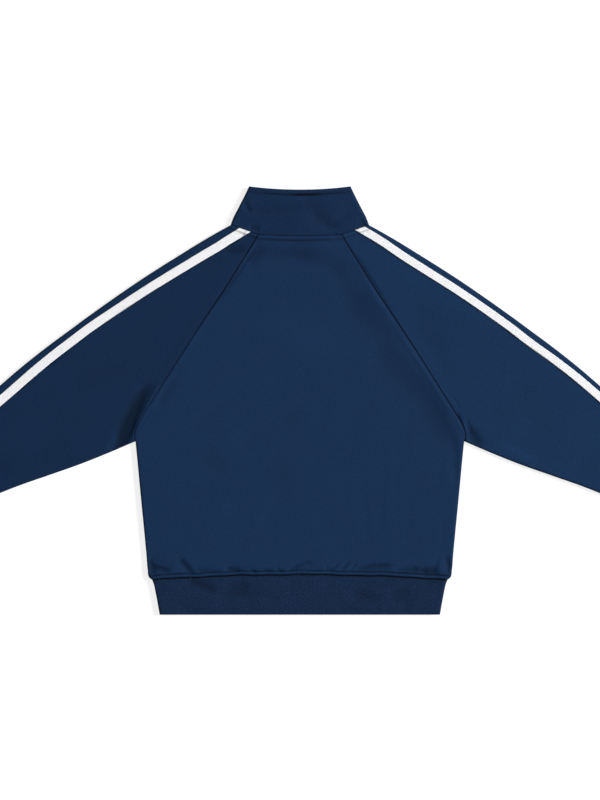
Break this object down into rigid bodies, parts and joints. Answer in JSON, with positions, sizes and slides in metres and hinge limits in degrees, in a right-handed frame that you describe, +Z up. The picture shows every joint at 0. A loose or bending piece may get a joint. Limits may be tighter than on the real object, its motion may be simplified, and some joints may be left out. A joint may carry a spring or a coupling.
{
  "type": "track jacket",
  "caption": "Zip-front track jacket laid flat, face down: raglan sleeves with a white tape each, stand collar, rib hem band and cuffs.",
  "frame": {"origin": "centre of the bounding box in plan, on the surface that the jacket lies on", "axes": "+Z up, away from the surface and out of the jacket's back; +Y towards the collar; +X towards the wearer's right sleeve"},
  "size_m": [1.4498, 0.6852, 0.0096],
  "materials": {
    "navy_cloth": "smooth double-knit polyester, matt with a slight sheen",
    "navy_rib": "fine rib knit, matt",
    "white_tape": "flat woven tape, matt",
    "zip_tape": "herringbone woven tape, matt",
    "zip_coil": "moulded nylon coil, satin",
    "zip_metal": "plain nickel plate, satin"
  },
  "bodies": {
    "jacket": {"back": "navy_cloth", "front_left": "navy_cloth", "front_right": "navy_cloth", "sleeve_left": "navy_cloth", "sleeve_right": "navy_cloth", "sleeve_tape_left": "white_tape", "sleeve_tape_right": "white_tape", "collar": "navy_cloth", "hem_band": "navy_rib", "cuff_left": "navy_rib", "cuff_right": "navy_rib", "zip_tape_left": "zip_tape", "zip_tape_right": "zip_tape", "zip_chain_left": "zip_coil", "zip_chain_right": "zip_coil", "zip_slider": "zip_metal", "zip_stop_left": "zip_metal", "zip_stop_right": "zip_metal", "zip_box": "zip_metal"},
    "pull_tab": {"zip_pull_tab": "zip_metal"}
  },
  "joints": [
    {"name": "pull_tab_hinge", "type": "hinge", "parent": "jacket", "child": "pull_tab", "pos_m": [0, 0.293, 0.00155], "axis": [1, 0, 0], "range_deg": [0, 170]}
  ]
}
